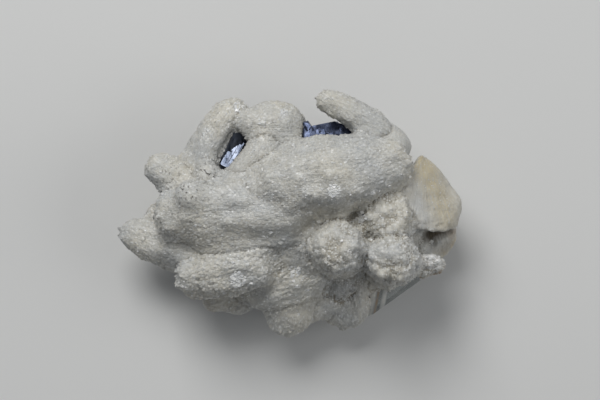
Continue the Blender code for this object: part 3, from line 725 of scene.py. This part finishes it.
# calcite crust between the tiny crystals: fibrous along each crystal, painted brown shade in the creases,
# hollows and recess, painted light on white spots, yellower on the plates
def calciteCrustMaterial():
    material, tree, shader, place, colour = calciteBase("calciteCrust")
    fibre = addNode(tree, "Attribute", "Vector", attribute_name="fibre")
    flat, yellow, paintedBrightness, paintedShade, recess = [
        addNode(tree, "Attribute", "Fac", attribute_name=name)
        for name in ("flat", "yellow", "paintedBrightness", "paintedShade", "recess")
    ]
    streaks = addNode(tree, "TexNoise", "Fac", {"Vector": fibre, "Scale": calcite["streaks"], "Detail": 4.0})
    low, high = calcite["yellowStreaks"]
    honey = addNode(tree, "MapRange", "Result", {"Value": streaks, "From Min": low, "From Max": high})
    yellow = addNode(tree, "Math", "Value", {0: yellow, 1: honey}, operation="MULTIPLY")
    low, high = calcite["whiteStreaks"]
    streaked = {"Value": streaks, "From Min": low, "From Max": high, "To Max": calcite["streakContrast"]}
    streaked = addNode(tree, "MapRange", "Result", streaked)
    calm = {"Value": flat, "To Min": 1.0, "To Max": calcite["plateStreaks"]}
    calm = addNode(tree, "MapRange", "Result", calm)
    streaked = addNode(tree, "Math", "Value", {0: streaked, 1: calm}, operation="MULTIPLY")
    size, low, high = calcite["paintedLightPatches"]
    patchy = addNode(tree, "TexNoise", "Fac", {"Vector": place, "Scale": patternScale(size), "Detail": 2.0})
    patchy = addNode(tree, "MapRange", "Result", {"Value": patchy, "From Min": low, "From Max": high})
    paintedBrightness = addNode(tree, "Math", "Value", {0: paintedBrightness, 1: patchy}, operation="MULTIPLY")
    # painted light and shade: the brightest white is painted light, the hollows and the recess painted shade
    layers = {"plate": yellow, "white": streaked, "paintedLightWhite": paintedBrightness, "paintedShade": paintedShade, "recess": recess}
    for kind, amount in layers.items():
        mix = {"Factor": amount, "A": colour, "B": linearColour(calcite[kind])}
        colour = addNode(tree, "Mix", "Result", mix, data_type="RGBA")
    tree.links.new(soiledColour(tree, place, colour), shader.inputs["Base Color"])
    # relief: the fibres, and a sugary grain over them
    sugar = {"Vector": place, "Scale": patternScale(calcite["sugarSize"]), "Detail": 2.0}
    sugar = addNode(tree, "TexNoise", "Fac", sugar)
    fibres = addNode(tree, "Math", "Value", {0: streaks, 1: calm}, operation="MULTIPLY")
    height = {0: sugar, 1: calcite["sugarShare"], 2: fibres}
    height = addNode(tree, "Math", "Value", height, operation="MULTIPLY_ADD")
    relief = {"Height": height, "Strength": calcite["relief"], "Distance": calcite["reliefDepth"]}
    tree.links.new(addNode(tree, "Bump", "Normal", relief), shader.inputs["Normal"])
    return material


crustMaterial, druseMaterial = calciteCrustMaterial(), calciteDruseMaterial()
calciteCrust.data.materials.append(crustMaterial)
drusePieces = makeDruse(druseMaterial)

print("galena: one cleaved crystal and a group with etched faces")
galena = {
    # grain: the size of the clouds of dark and light in mm each way, and how far they are turned in radians
    "cleaved": {
        "dark": "#3d434f", "light": "#727885", "roughness": 0.34, "relief": 0.45,
        "grain": (1.11, 6.67, 3.33), "grainTurn": 0.45,
    },
    "etched": {
        "dark": "#3c4356", "light": "#636b82", "roughness": 0.42, "relief": 0.55,
        "grain": (1.67, 1.67, 1.67), "grainTurn": 0.0,
    },
    "cloud": (0.3, 0.7), "reliefDepth": 0.0003,
    # the small steps on the blocks' faces: how many, their length and width in mm, how proud they stand,
    # and how far they turn from the block in degrees
    "cleavedSteps": {
        "count": 44, "length": (1.4, 4.5), "width": (0.4, 0.9), "proud": (0.05, 0.45), "turn": 4.5, "seed": 5,
    },
    "etchedSteps": {
        "count": 110, "length": (0.7, 1.8), "width": (0.7, 1.5), "proud": (0.05, 0.5), "turn": 9.0, "seed": 6,
    },
    "stepHeight": 2.0,
}
cubePoints = np.array([(x, y, z) for x in (-0.5, 0.5) for y in (-0.5, 0.5) for z in (-0.5, 0.5)])
cubeFaces = np.array([(0, 1, 3, 2), (4, 6, 7, 5), (0, 4, 5, 1), (2, 3, 7, 6), (0, 2, 6, 4), (1, 5, 7, 3)])


# galena, lead sulphide: a lead-grey metal whose cleavage faces are mirrors with fine straight steps
def galenaMaterial(name, look):
    material, tree, shader = newMaterial(name, {"Metallic": 1.0, "Roughness": look["roughness"]})
    grain = tuple(patternScale(size) for size in look["grain"])
    place = addNode(tree, "TexCoord", "Object")
    turned = {"Vector": place, "Rotation": (0, 0, look["grainTurn"]), "Scale": grain}
    turned = addNode(tree, "Mapping", "Vector", turned)
    cloud = addNode(tree, "TexNoise", "Fac", {"Vector": turned, "Scale": 1.0, "Detail": 3.0})
    low, high = galena["cloud"]
    light = addNode(tree, "MapRange", "Result", {"Value": cloud, "From Min": low, "From Max": high})
    mix = {"Factor": light, "A": linearColour(look["dark"]), "B": linearColour(look["light"])}
    tree.links.new(addNode(tree, "Mix", "Result", mix, data_type="RGBA"), shader.inputs["Base Color"])
    relief = {"Height": cloud, "Strength": look["relief"], "Distance": galena["reliefDepth"]}
    tree.links.new(addNode(tree, "Bump", "Normal", relief), shader.inputs["Normal"])
    return material


# small cubes that stand a little out of the blocks' upper faces, as galena grows and cleaves in steps
def makeGalenaSteps(name, blocks, steps, material):
    rng = np.random.default_rng(steps["seed"])
    corners = []
    for middle, edges, spin, tilts in blocks:
        turned = blockTurn(spin, tilts)
        for _ in range(steps["count"] // len(blocks)):
            length, width = rng.uniform(*steps["length"]), rng.uniform(*steps["width"])
            seat = rng.uniform(-0.5, 0.5, 3) * (edges[0] - width, edges[1] - length, 0)
            seat[2] = edges[2] / 2 + rng.uniform(*steps["proud"]) - galena["stepHeight"] / 2
            small = Matrix.Rotation(math.radians(rng.normal(0, steps["turn"])), 3, "X")
            small = np.array(small @ Matrix.Rotation(math.radians(rng.normal(0, steps["turn"])), 3, "Y"))
            cube = (cubePoints * (width, length, galena["stepHeight"])) @ small.T + seat
            corners.append(cube @ turned.T + middle)
    corners = np.array(corners)
    faces = (cubeFaces[None] + (np.arange(len(corners)) * len(cubePoints))[:, None, None]).reshape(-1, 4)
    mesh = bpy.data.meshes.new(name)
    mesh.from_pydata((corners.reshape(-1, 3) * mm).tolist(), [], faces.tolist())
    mesh.materials.append(material)
    piece = bpy.data.objects.new(name, mesh)
    bpy.context.scene.collection.objects.link(piece)
    return piece


cleavedMaterial = galenaMaterial("cleavedGalena", galena["cleaved"])
etchedMaterial = galenaMaterial("etchedGalena", galena["etched"])
galenaPieces = (
    makeGalenaSteps("galenaCleavedSteps", galenaBlocks["cleaved"], galena["cleavedSteps"], cleavedMaterial),
    makeGalenaSteps("galenaEtchedSteps", galenaBlocks["etched"], galena["etchedSteps"], etchedMaterial),
)

print("clear calcite: milky cleavage bands and one rusty streak in it")
clearCalcite = {
    "body": "#e2e6e4", "milk": "#e9e7e0", "rust": "#8f6a34",
    "ior": 1.6, "roughness": 0.16, "clearness": 0.8, "bandClearness": 0.1,
    "across": (0.983, -0.187, 0.0),     # the way that the bands follow each other
    # middle and half width of each band in mm, its colour and its strength
    "bands": ((28.6, 1.2, "milk", 1.0), (30.0, 0.5, "rust", 0.8), (31.9, 0.9, "milk", 0.8)),
    "bandEdge": 0.4,        # share of the half width that is at full strength
    # size of the bands' clouds in mm, between which values of the noise they form, and how weak a band
    # gets there
    "clouds": (2.5, 0.3, 0.6), "weakest": 0.5,
}


# clear calcite: glassy cleavage, see-through, a little cloudy inside
def clearCalciteMaterial():
    finish = {"Roughness": clearCalcite["roughness"], "IOR": clearCalcite["ior"]}
    material, tree, shader = newMaterial("clearCalcite", finish)
    place = addNode(tree, "TexCoord", "Object")
    across = {0: place, 1: clearCalcite["across"]}
    across = addNode(tree, "VectorMath", "Value", across, operation="DOT_PRODUCT")
    size, low, high = clearCalcite["clouds"]
    cloud = addNode(tree, "TexNoise", "Fac", {"Vector": place, "Scale": patternScale(size), "Detail": 3.0})
    cloud = {"Value": cloud, "From Min": low, "From Max": high, "To Min": clearCalcite["weakest"]}
    cloud = addNode(tree, "MapRange", "Result", cloud)
    colour, clearness = linearColour(clearCalcite["body"]), clearCalcite["clearness"]
    for middle, half, kind, strength in clearCalcite["bands"]:
        away = addNode(tree, "Math", "Value", {0: across, 1: middle * mm}, operation="SUBTRACT")
        away = addNode(tree, "Math", "Value", {0: away}, operation="ABSOLUTE")
        full = half * mm * clearCalcite["bandEdge"]
        band = {"Value": away, "From Min": full, "From Max": half * mm, "To Min": strength, "To Max": 0.0}
        band = addNode(tree, "MapRange", "Result", band)
        band = addNode(tree, "Math", "Value", {0: band, 1: cloud}, operation="MULTIPLY")
        mix = {"Factor": band, "A": colour, "B": linearColour(clearCalcite[kind])}
        colour = addNode(tree, "Mix", "Result", mix, data_type="RGBA")
        through = {"Value": band, "To Min": 1.0, "To Max": clearCalcite["bandClearness"]}
        through = addNode(tree, "MapRange", "Result", through)
        clearness = addNode(tree, "Math", "Value", {0: through, 1: clearness}, operation="MULTIPLY")
    tree.links.new(colour, shader.inputs["Base Color"])
    tree.links.new(clearness, shader.inputs["Transmission Weight"])
    return material


nodeMaterials = {
    "galena_cleaved_crystal": cleavedMaterial, "galena_etched_crystals": etchedMaterial,
    "clear_calcite_crystal": clearCalciteMaterial(),
}
for node, material in nodeMaterials.items():
    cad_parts[node].data.materials.clear()
    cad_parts[node].data.materials.append(material)

for piece in (calciteCrust, *drusePieces):
    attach(piece, "root")
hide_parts("calcite_cluster")
for piece in galenaPieces:
    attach(piece, "root")

print("studio: pale floor, soft light from the top of the picture, camera straight above")
studio = {
    "floorSize": 3.0,
    "floorColour": "#cfcfcd",
    "floorRoughness": 0.9,
    "keyFrom": (-0.20, 0.52, 0.72),
    "keySize": 0.45,
    "keyPower": 5.8,
    "fillFrom": (0.75, 0.0, 0.55),
    "fillSize": 0.6,
    "fillPower": 1.9,
    "skyColour": "#e0e4ea",
    "skyStrength": 0.26,
    "cameraHeight": 0.925,
    "middle": (0.0029, 0.00334, 0.025),
    "frameWidth": 0.174,        # what the picture is wide, in metres at the middle's height
    "sensor": 36.0, "clipStart": 0.05,
}


def areaLight(name, place, size, power):
    deselectAll()
    bpy.ops.object.light_add(type="AREA", location=place)
    light = bpy.context.object
    light.name = name
    light.data.size = size
    light.data.energy = power
    aim = Vector(studio["middle"]) - Vector(place)
    light.rotation_euler = aim.to_track_quat("-Z", "Y").to_euler()


def makeStudio():
    deselectAll()
    bpy.ops.mesh.primitive_plane_add(size=studio["floorSize"], location=(0, 0, 0))
    floor = bpy.context.object
    floor.name = "studioFloor"
    # matt paper
    paper = {"Base Color": linearColour(studio["floorColour"]), "Roughness": studio["floorRoughness"]}
    material, _, _ = newMaterial("paperFloor", paper)
    floor.data.materials.append(material)
    floor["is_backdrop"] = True
    areaLight("keyLight", studio["keyFrom"], studio["keySize"], studio["keyPower"])
    areaLight("fillLight", studio["fillFrom"], studio["fillSize"], studio["fillPower"])
    world = bpy.data.worlds.new("softSky")
    world.use_nodes = True
    background = world.node_tree.nodes["Background"]
    background.inputs["Color"].default_value = linearColour(studio["skyColour"])
    background.inputs["Strength"].default_value = studio["skyStrength"]
    bpy.context.scene.world = world
    x, y, z = studio["middle"]
    bpy.ops.object.camera_add(location=(x, y, studio["cameraHeight"]), rotation=(0, 0, 0))
    camera = bpy.context.object
    camera.data.sensor_width = studio["sensor"]
    camera.data.lens = studio["sensor"] * (studio["cameraHeight"] - z) / studio["frameWidth"]
    camera.data.clip_start = studio["clipStart"]
    bpy.context.scene.camera = camera


makeStudio()

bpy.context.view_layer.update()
differences = [[round((a - b) / mm, 2) for a, b in zip(v, c)] for v, c in zip(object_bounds(), cadBox)]
print("size difference mm", differences)
